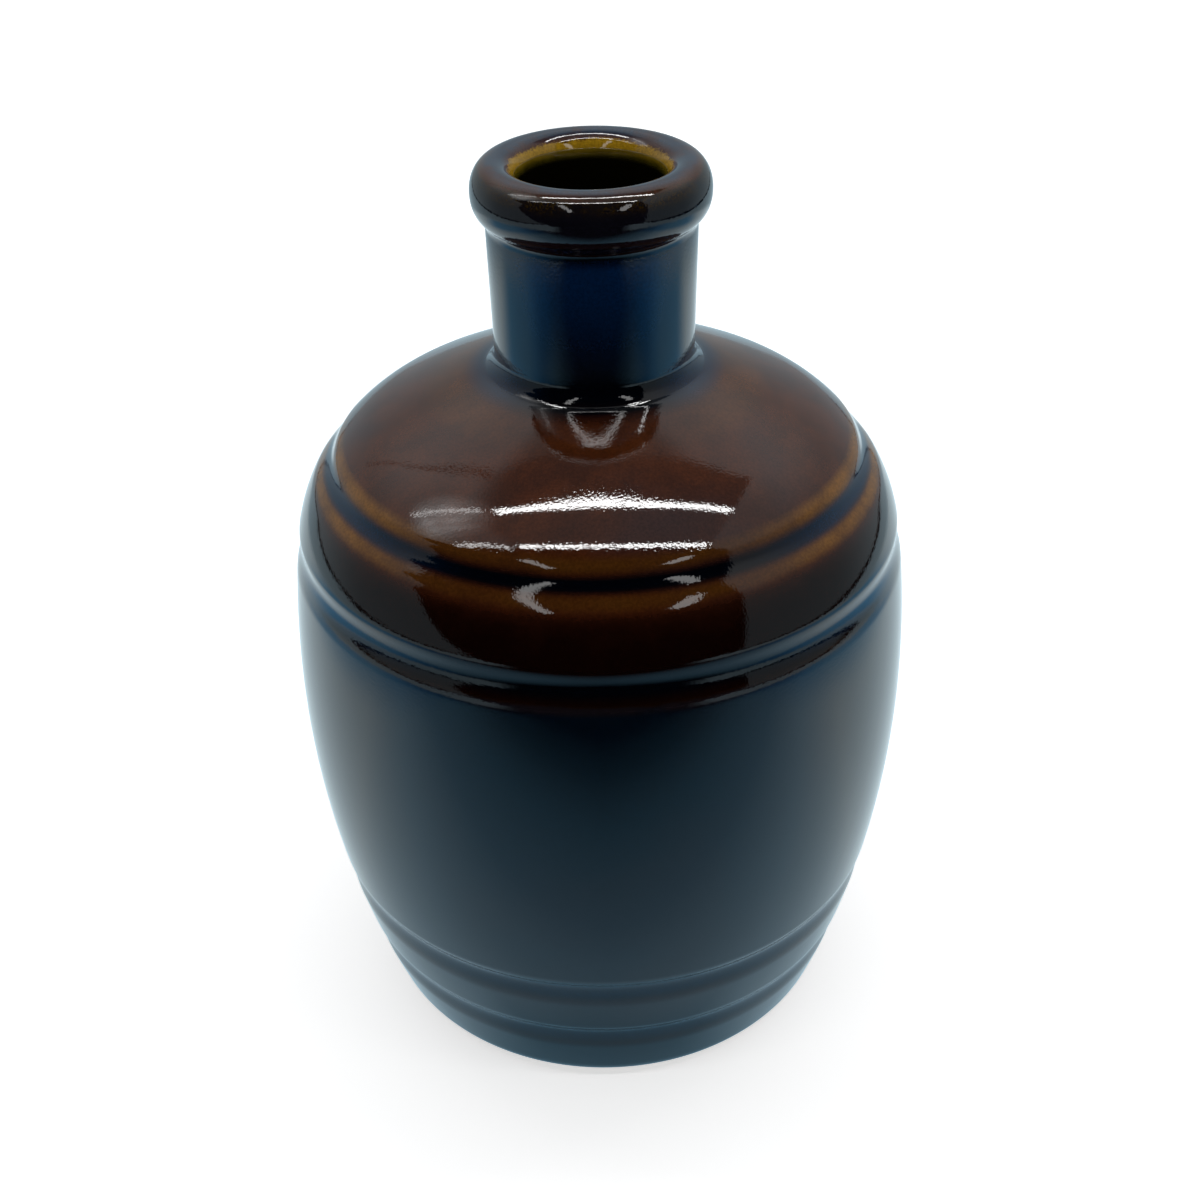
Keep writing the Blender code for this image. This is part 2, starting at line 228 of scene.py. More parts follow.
def colour(name, description, default):
    """A colour that the user may change."""
    return bpy.props.FloatVectorProperty(
        name=name, description=description, default=default, size=3, min=0, max=1, subtype="COLOR"
    )


def amount(name, description, default):
    """A plain number that the user may change."""
    return bpy.props.FloatProperty(name=name, description=description, default=default)


class FlagonSizes(bpy.types.PropertyGroup):
    """Sizes of the finished flagon, over the glaze."""

    barrel_radius: length("Barrel radius", "At the widest place", COAT_BOX[1][0])
    bulge_height: length("Bulge height", "How high the widest place is", 0.0683)
    stave_arc: length("Stave arc", "Radius of the long arc up the side", 0.195)
    heel_arc: length("Heel arc", "Rounding from the side into the foot", 0.0075)
    knuckle_height: length("Knuckle height", "Where the side starts to turn in", 0.0971)
    knuckle_arc: length("Knuckle arc", "Radius of the turn into the shoulder", 0.0305)
    dome_slope: angle("Dome slope", "Slope of the shoulder where the turn ends", 26.7)
    dome_arc: length("Dome arc", "Radius of the shallow dome up to the neck", 0.133)
    hoop_lower_bank: length("Hoop lower bank", "From a hoop's deepest line down to the plain side", 0.0050)
    hoop_upper_bank: length("Hoop upper bank", "From a hoop's deepest line up to the plain side", 0.0031)
    hoop_depth: length("Hoop depth", "Depth of a hoop groove", 0.0006)
    low_hoop_height: length("Low hoop height", "Height of the lowest hoop", 0.0161)
    low_hoop_pitch: length("Low hoop pitch", "Up the side to the next hoop", 0.0150)
    top_hoop_pitch: length("Top hoop pitch", "From the hoop at the knuckle to the top one", 0.0164)
    ridge_half_width: length("Ridge half width", "Inside, behind a hoop", 0.0052)
    ridge_height: length("Ridge height", "Height of a ridge inside", 0.0005)
    neck_radius: length("Neck radius", "At the foot of the neck", 0.0169)
    neck_flare: length("Neck flare", "How much wider the neck is under the lip", 0.0004)
    neck_length: length("Neck length", "Straight part of the neck", 0.0216)
    neck_foot_arc: length("Neck foot arc", "Hollow round the foot of the neck", 0.0035)
    lip_crease: length("Lip crease", "Radius of the hollow under the lip", 0.0018)
    lip_overhang: length("Lip overhang", "How far the lip stands out past the foot of the neck", 0.0026)
    lip_height: length("Lip height", "Height of the roll", 0.0098)
    lip_squareness: amount("Lip squareness", "2 is an ellipse, and more is squarer", 2.15)
    lip_glaze_end: angle("Lip glaze end", "Where the dark coat meets the lining", 152.0)
    wall: length("Wall", "Through clay and glaze", 0.0050)
    floor_top: length("Floor top", "Height of the finished floor inside", 0.0082)
    floor_arc: length("Floor arc", "Rounding from the side into the floor", 0.0085)
    foot_ring_width: length("Foot ring width", "Flat ring of bare clay", 0.0046)
    foot_edge: length("Foot edge", "Bevel on the inner edge of the ring", 0.0006)
    recess_height: length("Recess height", "Height of the hollow inside the ring", 0.0022)
    glaze: length("Glaze", "Thickness of the outer coat", 0.00055)
    glaze_line: length("Glaze line", "Height at which the outer coat stops", 0.0018)
    liner: length("Liner", "Thickness of the coat inside", 0.0005)
    base_coat: length("Base coat", "Thickness of the coat under the floor", 0.0005)
    seat: length("Seat", "Clearance between clay and coat in the CAD model", 0.0003)
    join: length("Join", "Gap that is left between two coats that meet", 0.00003)
    sway: length("Sway", "How far the cast wall strays from a true turning", 0.00004)
    sway_spread: length("Sway spread", "How far apart the stray places lie", 0.045)


class FlagonFineness(bpy.types.PropertyGroup):
    """How finely the surfaces are turned."""

    turn_steps: bpy.props.IntProperty(name="Turn steps", description="Faces round the axis", default=192)
    plain_step: length("Plain step", "Up a plain stretch", 0.0014)
    fine_step: length("Fine step", "Over a hoop, the neck foot and the lip", 0.0004)
    hidden_step: length("Hidden step", "Up a face that nothing shows", 0.0040)


class FlagonColours(bpy.types.PropertyGroup):
    """Colours of the glazes and the clay, as their surfaces scatter them."""

    brown: colour("Brown", "Dark coat at its usual thickness on the shoulder", (0.082, 0.0200, 0.0056))
    brown_deep: colour("Deep brown", "Darker clouds in the brown", (0.050, 0.0125, 0.0045))
    plum: colour("Plum", "Bluish clouds in the brown", (0.030, 0.0150, 0.0170))
    umber: colour("Umber", "Dark coat between the two top hoops", (0.0052, 0.0012, 0.0007))
    # Amber and amber at the sides are one colour in two copies: darker at the front by painted shade, lighter
    # at the sides and back by painted light.
    amber: colour("Amber", "Dark coat where it has run thin, at the front", (0.080, 0.0270, 0.0045))
    amber_lit_side: colour("Amber at the sides", "The same at the sides and the back", (0.240, 0.0980, 0.0110))
    # A painted sheen: the paler blue that the room shines on the crown of the lip, over the navy.
    slate: colour("Slate", "Dark coat on the crown of the lip", (0.0070, 0.0290, 0.0600))
    # A painted reflection: the blue that the table shines on the front of the neck, laid into the colour.
    film: colour("Film", "Blue film on the front of the neck, under the lip", (0.0018, 0.0210, 0.0800))
    olive: colour("Olive", "Flecks on the front of the lip", (0.034, 0.0185, 0.0022))
    navy: colour("Navy", "Dark coat where it is thick", (0.0010, 0.0044, 0.0100))
    navy_warm: colour("Warm navy", "Purplish clouds in the navy", (0.0052, 0.0044, 0.0076))
    pool: colour("Pool", "Dark coat where it has run together", (0.0006, 0.0170, 0.0500))
    # The deep pool is painted shade: the pool's colour darkened to near black on the front of the flagon.
    pool_shaded_front: colour("Deep pool", "The same at the front, where it is thickest", (0.0005, 0.0010, 0.0024))
    honey: colour("Honey", "Lining near the mouth", (0.090, 0.070, 0.0026))
    honey_thin: colour("Thin honey", "Lining on the rim", (0.300, 0.190, 0.0120))
    gold: colour("Gold", "Dark coat where it thins towards the lining", (0.480, 0.275, 0.0140))
    # Painted shade: the lining farther down the bore, darkened to near black.
    honey_shaded: colour("Deep honey", "Lining farther in", (0.0026, 0.0023, 0.0004))
    clay: colour("Clay", "Bare fired clay", (0.480, 0.400, 0.310))
    clay_flash: colour("Clay flash", "Clay that the kiln has toasted", (0.400, 0.270, 0.165))
    clay_speck: colour("Clay speck", "Iron specks in the clay", (0.110, 0.065, 0.038))


class FlagonStage(bpy.types.PropertyGroup):
    """Camera, table and light."""

    camera_back: length("Camera back", "In front of the axis", 0.26085)
    camera_up: length("Camera up", "Above the table", 0.24836)
    camera_pitch: angle("Camera pitch", "How far the camera looks down", 33.01)
    camera_roll: angle("Camera roll", "How far the camera is turned about its view", -1.25)
    camera_lens: amount("Camera lens", "Focal length in millimetres", 50.36)
    table_left: length("Table left", "From the axis to the left edge", 0.52)
    table_right: length("Table right", "From the axis to the right edge", 0.47)
    table_front: length("Table front", "From the axis to the front edge", 0.70)
    table_back: length("Table back", "From the axis to the back edge", 1.10)
    table_edge: length("Table edge", "Dark edge beside the table top", 0.07)
    table_colour: colour("Table colour", "Top of the table", (0.80, 0.80, 0.80))
    table_glow: amount("Table glow", "What the white backdrop adds to the table", 0.66)
    lamp_height: length("Lamp height", "Of the strip lamps over the table", 1.10)
    lamp_length: length("Lamp length", "Of a strip lamp", 1.21)
    lamp_width: length("Lamp width", "Of a strip lamp", 0.022)
    lamp_radiance: amount("Lamp radiance", "Of a strip lamp, where 1 is white", 30.0)
    haze_radiance: amount("Haze radiance", "Of the soft light on the left, where 1 is white", 3.8)
    patch_radiance: amount("Patch radiance", "Of the two pale openings in the dark side of the room", 3.5)
    canopy_height: length("Canopy height", "Of the dark canopy over the lamps", 1.25)
    room_light: amount("Room light", "Upper walls of the room", 0.85)
    room_low: amount("Room low", "Lower walls of the room", 0.45)
    room_ceiling: amount("Room ceiling", "Ceiling of the room", 0.36)
    room_sides: amount("Room sides", "How bright the sides and the front are, as a share", 0.66)
    room_tint: colour("Room tint", "Of walls and ceiling", (0.96, 0.98, 1.0))
    room_low_tint: colour("Low room tint", "Of the lower walls", (0.76, 0.92, 1.0))
    dusk_front: amount("Dusk front", "Where the table is dark, behind the axis", -0.235)
    dusk_back: amount("Dusk back", "Where the table is pale, behind the axis", 0.015)
    dark_front: length("Dark front", "From the axis to the dark side of the room", 0.55)


class Arc:
    """A round stretch of curve, from one angle to another about its centre."""

    def __init__(self, centre, radius, start, end):
        self.centre = centre
        self.radius = radius
        self.start = start
        self.end = end
        self.length = radius * abs(end - start)

    def at(self, distance):
        """Point at a distance along the arc."""
        turned = self.start + (self.end - self.start) * distance / self.length
        return polar(self.centre, self.radius, turned)


class Line:
    """A straight stretch of curve."""

    def __init__(self, start, end):
        self.start = start
        self.end = end
        self.length = math.dist(start, end)

    def at(self, distance):
        """Point at a distance along the line."""
        return between(self.start, self.end, distance / self.length)


class Lip:
    """The rolled lip: most of a squared ellipse, from the crease, over the crown and into the bore."""

    HALVINGS = 40

    def __init__(self, sizes, neck_top):
        bore_radius = sizes.neck_radius - sizes.wall
        lip_radius = sizes.neck_radius + sizes.lip_overhang
        self.power = 2 / sizes.lip_squareness
        self.half_width = (lip_radius - bore_radius) / 2
        self.half_height = sizes.lip_height / 2
        self.across = (lip_radius + bore_radius) / 2
        self.start = self.leaves_crease(sizes.lip_crease, neck_top[0])
        crease_rise = sizes.lip_crease * math.sin(self.facing_down(self.start))
        self.up = neck_top[1] + crease_rise - self.half_height * self.squared(math.sin(self.start))
        self.length = math.pi * (self.half_width + self.half_height) / 2

    def squared(self, value):
        """Cosine or sine of a squared ellipse, from that of a round one."""
        return math.copysign(abs(value) ** self.power, value)

    def at(self, distance):
        """Point at a distance along the roll, counted by how far the roll has turned."""
        turned = self.start + (math.pi - self.start) * distance / self.length
        return (
            self.across + self.half_width * self.squared(math.cos(turned)),
            self.up + self.half_height * self.squared(math.sin(turned)),
        )

    def distance_of(self, turned):
        """Distance along the roll at which it has turned that far."""
        return self.length * (turned - self.start) / (math.pi - self.start)

    def facing_down(self, turned):
        """How far below level the underside of the roll faces where it has turned that far."""
        steepness = math.tan(abs(turned)) ** (2 - self.power)
        return math.atan(steepness * self.half_width / self.half_height)

    def leaves_crease(self, crease, neck_radius):
        """How far the roll has turned where it starts: there the crease touches both it and the neck."""
        lowest, level = -math.pi / 2, 0
        for _ in range(self.HALVINGS):
            middle = (lowest + level) / 2
            crease_width = crease * (1 - math.cos(self.facing_down(middle)))
            if self.across + self.half_width * self.squared(math.cos(middle)) < neck_radius + crease_width:
                lowest = middle
            else:
                level = middle
        return level


class Outline:
    """The finished outside of the flagon, from the foot over the lip into the bore, read by distance."""

    TANGENT_STEP = 0.00001

    def __init__(self, sizes):
        self.sizes = sizes
        self.stave_centre = (sizes.barrel_radius - sizes.stave_arc, sizes.bulge_height)
        self.stretches = self.make_stretches()
        self.starts = {}
        self.length = 0
        for name, stretch in self.stretches.items():
            self.starts[name] = self.length
            self.length += stretch.length
        self.hoops = self.find_hoops()

    def make_stretches(self):
        """The named stretches of the outside without its hoops, end to end."""
        s = self.sizes
        # The heel is lower than Z = 0 by a coat and its seat, so that the clay behind them stands on Z = 0.
        heel_centre = self.corner_centre(s.stave_arc, s.heel_arc, s.heel_arc - s.glaze - s.seat)
        heel_end = angle_from(self.stave_centre, heel_centre)
        stave_end = math.asin((s.knuckle_height - s.bulge_height) / s.stave_arc)
        knuckle_centre = polar(self.stave_centre, s.stave_arc - s.knuckle_arc, stave_end)
        dome_start = math.pi / 2 - s.dome_slope
        dome_centre = polar(knuckle_centre, s.knuckle_arc - s.dome_arc, dome_start)
        # The hollow touches the dome from above and the side of the neck from outside.
        hollow_across = s.neck_radius + s.neck_foot_arc
        hollow_rise = math.sqrt((s.dome_arc + s.neck_foot_arc) ** 2 - (hollow_across - dome_centre[0]) ** 2)
        hollow_centre = (hollow_across, dome_centre[1] + hollow_rise)
        dome_end = angle_from(dome_centre, hollow_centre)
        neck_foot = (s.neck_radius, hollow_centre[1])
        neck_top = (neck_foot[0] + s.neck_flare, neck_foot[1] + s.neck_length)
        lip = Lip(s, neck_top)
        crease_centre = (neck_top[0] + s.lip_crease, neck_top[1])
        crease_end = math.pi - lip.facing_down(lip.start)
        return {
            "heel": Arc(heel_centre, s.heel_arc, -math.pi / 2, heel_end),
            "stave": Arc(self.stave_centre, s.stave_arc, heel_end, stave_end),
            "knuckle": Arc(knuckle_centre, s.knuckle_arc, stave_end, dome_start),
            "dome": Arc(dome_centre, s.dome_arc, dome_start, dome_end),
            "hollow": Arc(hollow_centre, s.neck_foot_arc, dome_end + math.pi, math.pi),
            "neck": Line(neck_foot, neck_top),
            "crease": Arc(crease_centre, s.lip_crease, math.pi, crease_end),
            "lip": lip,
        }

    def corner_centre(self, side_arc, corner_arc, height):
        """Centre, at that height, of a rounding that touches an arc about the stave centre from inside."""
        fall = self.sizes.bulge_height - height
        reach = math.sqrt((side_arc - corner_arc) ** 2 - fall**2)
        return (self.stave_centre[0] + reach, height)

    def find_hoops(self):
        """Distances up the outside of the four hoops, from the lowest up."""
        s = self.sizes
        stave = self.stretches["stave"]
        turned = math.asin((s.low_hoop_height - s.bulge_height) / s.stave_arc) - stave.start
        lowest = self.starts["stave"] + s.stave_arc * turned
        knuckle = self.starts["knuckle"]
        return (lowest, lowest + s.low_hoop_pitch, knuckle, knuckle + s.top_hoop_pitch)

    def plain(self, distance):
        """Point on the outside without its hoops."""
        begun = [name for name in self.stretches if self.starts[name] <= distance]
        return self.stretches[begun[-1]].at(distance - self.starts[begun[-1]])

    def normal_of(self, point_at, distance):
        """Direction out of the clay, square to a curve that runs up the outside."""
        r0, z0 = point_at(max(distance - self.TANGENT_STEP, 0))
        r1, z1 = point_at(min(distance + self.TANGENT_STEP, self.length))
        run = math.hypot(r1 - r0, z1 - z0)
        return ((z1 - z0) / run, (r0 - r1) / run)

    def finished(self, distance):
        """Point on the glazed outside, hoops and all."""
        s = self.sizes
        depth = s.hoop_depth * swell(distance, self.hoops, s.hoop_lower_bank, s.hoop_upper_bank)
        return moved_in(self.plain(distance), self.normal_of(self.plain, distance), depth)

    def below(self, distance, depth):
        """Point that deep under the glazed outside."""
        return moved_in(self.finished(distance), self.normal_of(self.finished, distance), depth)

    def inside(self, distance, depth):
        """Point that deep behind the finished inside, across the wall from a place on the outside.

        The drained casting follows the hoops with low ridges, but for the lowest, which the corner hides.
        """
        s = self.sizes
        ridge = s.ridge_height * swell(distance, self.hoops[1:], s.ridge_half_width, s.ridge_half_width)
        return moved_in(self.plain(distance), self.normal_of(self.plain, distance), s.wall - depth + ridge)

    def lip_distance(self, turned):
        """Distance up the outside at which the rolled lip has turned that far."""
        return self.starts["lip"] + self.stretches["lip"].distance_of(turned)

    def heel_distance(self, height):
        """Distance up the outside at which the heel is that high."""
        heel = self.stretches["heel"]
        return heel.radius * (math.asin((height - heel.centre[1]) / heel.radius) - heel.start)

    def rings(self, start, end, fineness):
        """Distances up the outside from start to end, closer together where the curve turns sharply."""
        below = HOOP_MARGIN * self.sizes.hoop_lower_bank
        above = HOOP_MARGIN * self.sizes.hoop_upper_bank
        sharp = [(hoop - below, hoop + above) for hoop in self.hoops]
        sharp += [(self.starts["hollow"], self.starts["neck"]), (self.starts["crease"], self.length)]
        sharp.append((0, self.starts["stave"]))
        rings = [start]
        while rings[-1] < end:
            here = rings[-1]
            fine = any(low <= here < high for low, high in sharp)
            ahead = [low - here for low, high in sharp if low > here] + [end - here]
            plain = min(fineness.plain_step, max(min(ahead), fineness.fine_step))
            rings.append(here + (fineness.fine_step if fine else plain))
        rings[-1] = end
        return rings

    def lining(self, depth, step):
        """The inside, that deep behind its finished face, from the rim down to the middle of the floor.

        The rim shows most, so its points lie closer, and those of the floor lie farther apart.
        """
        s = self.sizes
        floor = s.floor_top - depth
        corner_arc = s.floor_arc + depth
        centre = self.corner_centre(s.stave_arc - s.wall + depth, corner_arc, floor + corner_arc)
        corner = Arc(centre, corner_arc, angle_from(self.stave_centre, centre), -math.pi / 2)
        # The ray from the stave centre to the corner's start meets the outside at this distance.
        side_start = self.starts["stave"] + s.stave_arc * (corner.start - self.stretches["stave"].start)
        rim = spread(self.lip_distance(s.lip_glaze_end), self.length, step / 2)
        side = spread(self.starts["crease"], side_start, step)
        points = [self.below(distance, depth) for distance in rim]
        points += [self.inside(distance, depth) for distance in side[:-1]]
        points += [corner.at(distance) for distance in spread(0, corner.length, step)]
        return points + [(radius, floor) for radius in spread(centre[0], 0, 3 * step)[1:]]


def polar(centre, radius, turned):
    """Point at a radius and an angle from a centre."""
    return (centre[0] + radius * math.cos(turned), centre[1] + radius * math.sin(turned))


def angle_from(centre, point):
    """Direction from a centre to a point."""
    return math.atan2(point[1] - centre[1], point[0] - centre[0])


def between(start, end, share):
    """Point that lies at a share of the way from one point to another."""
    return tuple(a + (b - a) * share for a, b in zip(start, end))


def moved_in(point, normal, depth):
    """A point moved into the clay, against the normal."""
    return (point[0] - depth * normal[0], point[1] - depth * normal[1])


def spread(start, end, step):
    """Distances from start to end, both included, about a step apart."""
    count = max(2, round(abs(end - start) / step) + 1)
    return [start + (end - start) * i / (count - 1) for i in range(count)]


def swell(distance, places, lower_bank, upper_bank):
    """A smooth swell at each place: 1 at the place itself, and 0 from a bank's width away."""
    shares = [(place - distance) / lower_bank for place in places if distance <= place]
    shares += [(distance - place) / upper_bank for place in places if distance > place]
    return (1 + math.cos(math.pi * min(*shares, 1))) / 2


def plateau(distance, place, flat, half_width):
    """A swell with a flat top: 1 up to flat from the place, and 0 from half a width away."""
    return 1 - rise(abs(distance - place), flat, half_width)


def rise(distance, start, end):
    """A smooth step from 0 at start to 1 at end."""
    share = min(max((distance - start) / (end - start), 0), 1)
    return share * share * (3 - 2 * share)


def draw_profile(name, profile):
    """Draws a profile of (radius, height) points as a mesh of edges in the XZ plane."""
    return draw_line(name, [(radius, 0, height) for radius, height in profile])


def draw_line(name, points):
    """Draws a line through points as a mesh of edges, by extruding a point along it."""
    bpy.ops.object.select_all(action="DESELECT")
    here = points[0]
    bpy.ops.mesh.primitive_plane_add(size=START_PLANE, location=here)
    piece = bpy.context.active_object
    piece.name = name
    piece.data.name = name
    bpy.ops.object.transform_apply(location=True, rotation=False, scale=False)
    bpy.ops.object.mode_set(mode="EDIT")
    bpy.ops.mesh.select_mode(type="VERT")
    bpy.ops.mesh.select_all(action="SELECT")
    bpy.ops.mesh.merge(type="CENTER")
    for point in points[1:]:
        step = tuple(end - start for start, end in zip(here, point))
        bpy.ops.mesh.extrude_vertices_move(TRANSFORM_OT_translate={"value": step})
        here = point
    bpy.ops.object.mode_set(mode="OBJECT")
    return piece


def spin_round(piece, steps, closed):
    """Spins a drawn profile about the Z axis, and merges its seam and its poles.

    The ends of a closed profile are joined first. The others begin and end on the axis.
    """
    bpy.ops.object.mode_set(mode="EDIT")
    if closed:
        bpy.ops.mesh.select_all(action="DESELECT")
        bpy.ops.object.mode_set(mode="OBJECT")
        piece.data.vertices[0].select = True
        piece.data.vertices[len(piece.data.vertices) - 1].select = True
        bpy.ops.object.mode_set(mode="EDIT")
        bpy.ops.mesh.edge_face_add()
    bpy.ops.mesh.select_all(action="SELECT")
    bpy.ops.mesh.spin(steps=steps, angle=TAU, center=(0, 0, 0), axis=(0, 0, 1))
    bpy.ops.mesh.select_all(action="SELECT")
    bpy.ops.mesh.remove_doubles(threshold=MERGE_DISTANCE)
    bpy.ops.mesh.normals_make_consistent(inside=False)
    bpy.ops.object.mode_set(mode="OBJECT")
    bpy.ops.object.shade_smooth()


def mark_points(piece, name, values):
    """Writes one value a point of the drawn profile, which spinning copies round."""
    layer = piece.data.attributes.new(name, "FLOAT", "POINT")
    layer.data.foreach_set("value", values)


def sway_wall(piece, sizes):
    """Lets the wall stray a little from a true turning, as a cast and fired wall does."""
    clouds = bpy.data.textures.new(piece.name + "_sway", "CLOUDS")
    clouds.noise_scale = sizes.sway_spread
    clouds.noise_depth = 1
    bpy.ops.object.modifier_add(type="DISPLACE")
    displace = piece.modifiers[-1]
    displace.texture = clouds
    displace.texture_coords = "LOCAL"
    displace.strength = sizes.sway
    displace.mid_level = 0.5
    bpy.ops.object.modifier_apply(modifier=displace.name)
    bpy.data.textures.remove(clouds)


class NodeGraph:
    """Builds the nodes of one material or world from left to right."""

    def __init__(self, owner):
        owner.use_nodes = True
        self.tree = owner.node_tree
        self.tree.nodes.clear()

    def add(self, kind, settings=None, **inputs):
        """Adds a node. A setting is a property of the node; an input is a value or another node's socket."""
        node = self.tree.nodes.new(kind)
        for key, value in (settings or {}).items():
            setattr(node, key, value)
        for key, value in inputs.items():
            socket = node.inputs[int(key[1:])] if key[0] == "i" and key[1:].isdigit() else node.inputs[key]
            self.put(socket, value)
        return node

    def put(self, socket, value):
        """Links a socket, or sets its value."""
        if isinstance(value, bpy.types.NodeSocket):
            self.tree.links.new(value, socket)
        elif hasattr(value, "__len__"):
            value = tuple(value)
            socket.default_value = value + (1,) if socket.type == "RGBA" and len(value) == 3 else value
        else:
            socket.default_value = value

    def maths(self, operation, first, second=0.0, clamp=False):
        """A Math node's result."""
        node = self.add("ShaderNodeMath", {"operation": operation, "use_clamp": clamp}, i0=first, i1=second)
        return node.outputs[0]

    def sum(self, first, second, clamp=False):
        """Two values added, and held between 0 and 1 if asked."""
        return self.maths("ADD", first, second, clamp)

    def product(self, first, second):
        """Two values multiplied."""
        return self.maths("MULTIPLY", first, second)

    def vector_maths(self, operation, first, second=None):
        """A Vector Math node's result."""
        node = self.add("ShaderNodeVectorMath", {"operation": operation}, i0=first)
        if second is not None:
            self.put(node.inputs["Scale" if operation == "SCALE" else 1], second)
        return node.outputs["Value" if operation == "LENGTH" else "Vector"]

    def axes(self, vector):
        """The X, Y and Z of a vector."""
        return self.add("ShaderNodeSeparateXYZ", None, Vector=vector).outputs

    def mix(self, share, first, second, blend="MIX"):
        """Two colours mixed, or blended in another way."""
        node = self.add("ShaderNodeMix", {"data_type": "RGBA", "blend_type": blend})
        self.put(node.inputs[0], share)
        self.put(node.inputs[6], first)
        self.put(node.inputs[7], second)
        return node.outputs[2]

    def noise(self, place, spread_over, detail=2.0, roughness=0.5, distortion=0.0):
        """Noise whose clouds are about that long."""
        node = self.add(
            "ShaderNodeTexNoise", None,
            Vector=place, Scale=1 / spread_over, Detail=detail, Roughness=roughness, Distortion=distortion,
        )
        return node.outputs["Fac"]

    def ramp(self, value, low, high, to_low=0.0, to_high=1.0):
        """A value stretched from low and high to two others, and held between them."""
        node = self.add("ShaderNodeMapRange", {"interpolation_type": "SMOOTHSTEP"})
        for index, number in enumerate((value, low, high, to_low, to_high)):
            self.put(node.inputs[index], number)
        return node.outputs[0]

    def attribute(self, name):
        """A value that was marked on the piece's points."""
        return self.add("ShaderNodeAttribute", {"attribute_name": name}).outputs["Fac"]

    def place(self):
        """Place on the piece, in metres."""
        return self.add("ShaderNodeTexCoord").outputs["Object"]

    def stretched(self, place, scale):
        """A place scaled along each axis."""
        return self.add("ShaderNodeMapping", None, Vector=place, Scale=scale).outputs[0]

    def glow(self, strength):
        """A shader that shines white."""
        return self.add("ShaderNodeEmission", None, Color=WHITE, Strength=strength).outputs[0]

    def clear(self, tint=WHITE):
        """A shader that lets light through."""
        return self.add("ShaderNodeBsdfTransparent", None, Color=tint).outputs[0]

    def mix_shaders(self, share, first, second):
        """A mix of two shaders."""
        return self.add("ShaderNodeMixShader", None, i0=share, i1=first, i2=second).outputs[0]

    def end(self, shader, kind="ShaderNodeOutputMaterial"):
        """Ends the graph with a shader."""
        self.add(kind, None, Surface=shader)


def new_material(name):
    """A new material, and its graph, which is still empty."""
    material = bpy.data.materials.new(name)
    return material, NodeGraph(material)


def finish_material(graph, base, roughness, bumps):
    """Ends a material: a Principled shader over a chain of bumps, each (height, strength, distance)."""
    normal = None
    for height, strength, distance in bumps:
        bump = graph.add("ShaderNodeBump", None, Height=height, Strength=strength, Distance=distance)
        if normal is not None:
            graph.put(bump.inputs["Normal"], normal)
        normal = bump.outputs[0]
    shader = graph.add("ShaderNodeBsdfPrincipled", None, Roughness=roughness, IOR=SURFACE_IOR, Normal=normal)
    graph.put(shader.inputs["Base Color"], base)
    graph.end(shader.outputs[0])


